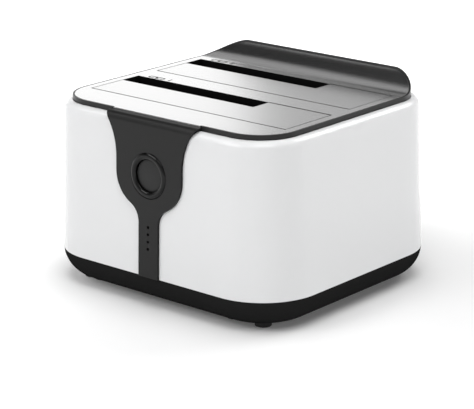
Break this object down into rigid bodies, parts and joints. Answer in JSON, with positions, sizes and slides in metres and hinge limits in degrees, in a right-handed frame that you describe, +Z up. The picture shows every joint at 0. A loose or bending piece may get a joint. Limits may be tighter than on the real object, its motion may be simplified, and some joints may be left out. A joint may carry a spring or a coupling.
{
  "type": "drive duplicator",
  "caption": "Drive duplicator dock: rounded housing with sprung flaps over upright drive wells, a copy button, status lamps, a curled rear lip and rear ports.",
  "frame": {"origin": "on the table, under the middle of the housing", "axes": "+X to the user's right, +Y to the back, +Z up; the button faces -Y"},
  "size_m": [0.1264, 0.1162, 0.0856],
  "materials": {
    "white_gloss": "gloss",
    "black_plastic": "satin",
    "dark_plastic": "satin",
    "grey_plastic": "satin",
    "black_rubber": "matte",
    "silver_sheet": "satin",
    "silver_paint": "satin metallic paint",
    "steel": "polished",
    "spring_steel": "polished",
    "screw_steel": "blackened",
    "gold_contacts": "plated",
    "connector_plastic": "matte",
    "black_gloss": "gloss",
    "button_plastic": "satin",
    "switch_plastic": "matte",
    "circuit_board": "solder mask",
    "lamp_plastic": "gloss",
    "clear_plastic": "clear",
    "ribbon_vinyl": "matte",
    "chip_plastic": "matte",
    "can_metal": "satin",
    "port_metal": "bright",
    "port_plastic": "matte",
    "rocker_plastic": "gloss"
  },
  "bodies": {
    "housing": {"outer_sleeve": "white_gloss", "base_tray": "black_plastic", "rubber_feet": "black_rubber", "top_deck": "dark_plastic", "deck_plate": "silver_sheet", "front_fascia": "grey_plastic", "front_flap_pin": "steel", "front_flap_spring": "spring_steel", "front_bay_guide": "black_plastic", "front_drive_connector": "connector_plastic", "front_drive_contacts": "gold_contacts", "rear_flap_pin": "steel", "rear_flap_spring": "spring_steel", "rear_bay_guide": "black_plastic", "rear_drive_connector": "connector_plastic", "rear_drive_contacts": "gold_contacts", "button_bezel": "black_gloss", "tact_switch": "switch_plastic", "front_board": "circuit_board", "status_lamps": "lamp_plastic", "light_pipe": "clear_plastic", "ribbon_headers": "connector_plastic", "ribbon_cable": "ribbon_vinyl", "main_board": "circuit_board", "board_chips": "chip_plastic", "board_capacitors": "can_metal", "power_coil": "chip_plastic", "data_port_shell": "port_metal", "data_port_insert": "port_plastic", "dc_jack": "connector_plastic", "dc_jack_pin": "steel", "power_switch_housing": "black_plastic", "rocker_pin": "steel", "rear_panel": "grey_plastic", "base_screws": "screw_steel", "guide_screws": "screw_steel", "board_screws": "screw_steel", "front_board_screws": "screw_steel"},
    "front_flap": {"front_flap": "silver_paint"},
    "rear_flap": {"rear_flap": "silver_paint"},
    "copy_button": {"button_cap": "button_plastic", "switch_plunger": "switch_plastic"},
    "power_rocker": {"power_rocker": "rocker_plastic"}
  },
  "joints": [
    {"name": "front_flap_hinge", "type": "hinge", "parent": "housing", "child": "front_flap", "pos_m": [0, -0.03875, 0.0742], "axis": [-1, 0, 0], "range_deg": [0, 88], "stiffness_Nm_per_rad": 0.004, "springref_deg": -34.38, "deforming": ["front_flap_spring"]},
    {"name": "rear_flap_hinge", "type": "hinge", "parent": "housing", "child": "rear_flap", "pos_m": [0, 0.00105, 0.0742], "axis": [-1, 0, 0], "range_deg": [0, 88], "stiffness_Nm_per_rad": 0.004, "springref_deg": -34.38, "deforming": ["rear_flap_spring"]},
    {"name": "copy_button_press", "type": "slide", "parent": "housing", "child": "copy_button", "axis": [0, 1, 0], "range_m": [0, 0.0008], "stiffness_N_per_m": 400, "springref_m": -0.0004},
    {"name": "power_rocker_tilt", "type": "hinge", "parent": "housing", "child": "power_rocker", "pos_m": [0.02, 0.05435, 0.026], "axis": [1, 0, 0], "range_deg": [0, 20]}
  ]
}
